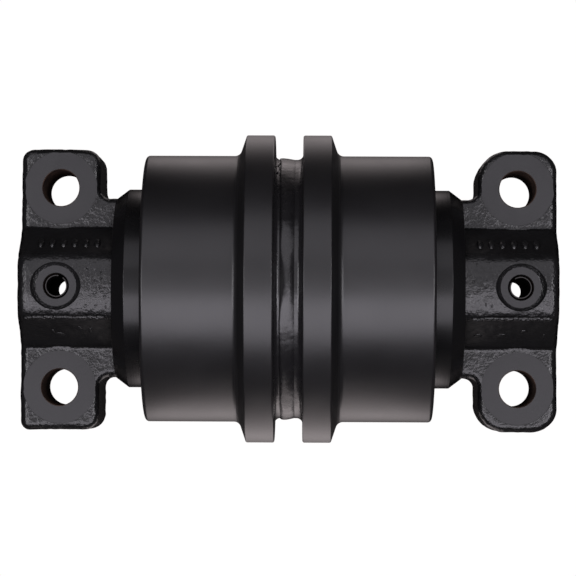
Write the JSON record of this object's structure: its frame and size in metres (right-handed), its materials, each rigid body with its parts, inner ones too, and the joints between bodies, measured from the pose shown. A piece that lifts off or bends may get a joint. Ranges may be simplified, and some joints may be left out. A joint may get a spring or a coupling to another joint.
{
  "type": "excavator track roller",
  "caption": "Oil-filled steel roller with twin centre flanges, turning on a fixed shaft held by two bolt-on end collars.",
  "frame": {"origin": "midpoint of the shaft's axis, which is also the centre of the part's box", "axes": "+Y along the shaft, towards the right collar; +Z from the collars' mounting faces towards the side that the bolts are put in from; +X along the track, the way the machine travels"},
  "size_m": [0.208, 0.36, 0.208],
  "materials": {
    "shell_paint": "satin black paint over fine turning",
    "cast_paint": "gloss black paint over rough casting, smoother on machined seats",
    "weld_paint": "gloss black paint over a rippled weld",
    "steel": "ground steel, bare",
    "spring_steel": "blackened spring steel",
    "bronze": "bronze-lined bush, bare",
    "seal_iron": "lapped hard iron, bare",
    "rubber": "matt black rubber"
  },
  "bodies": {
    "fixed_shaft_and_collars": {"shaft": "steel", "oil_plug": "steel", "collar_left": "cast_paint", "collar_right": "cast_paint", "lock_pin_left": "spring_steel", "lock_pin_right": "spring_steel", "shaft_o_ring_left": "rubber", "shaft_o_ring_right": "rubber", "seal_ring_fixed_left": "seal_iron", "seal_ring_fixed_right": "seal_iron", "toric_ring_fixed_left": "rubber", "toric_ring_fixed_right": "rubber"},
    "roller": {"shell_half_left": "shell_paint", "shell_half_right": "shell_paint", "shell_weld_seam": "weld_paint", "bush_left": "bronze", "bush_right": "bronze", "seal_ring_turning_left": "seal_iron", "seal_ring_turning_right": "seal_iron", "toric_ring_turning_left": "rubber", "toric_ring_turning_right": "rubber"}
  },
  "joints": [
    {"name": "roller_spin", "type": "hinge", "parent": "fixed_shaft_and_collars", "child": "roller", "pos_m": [0, 0, 0], "axis": [0, 1, 0], "continuous": true}
  ]
}
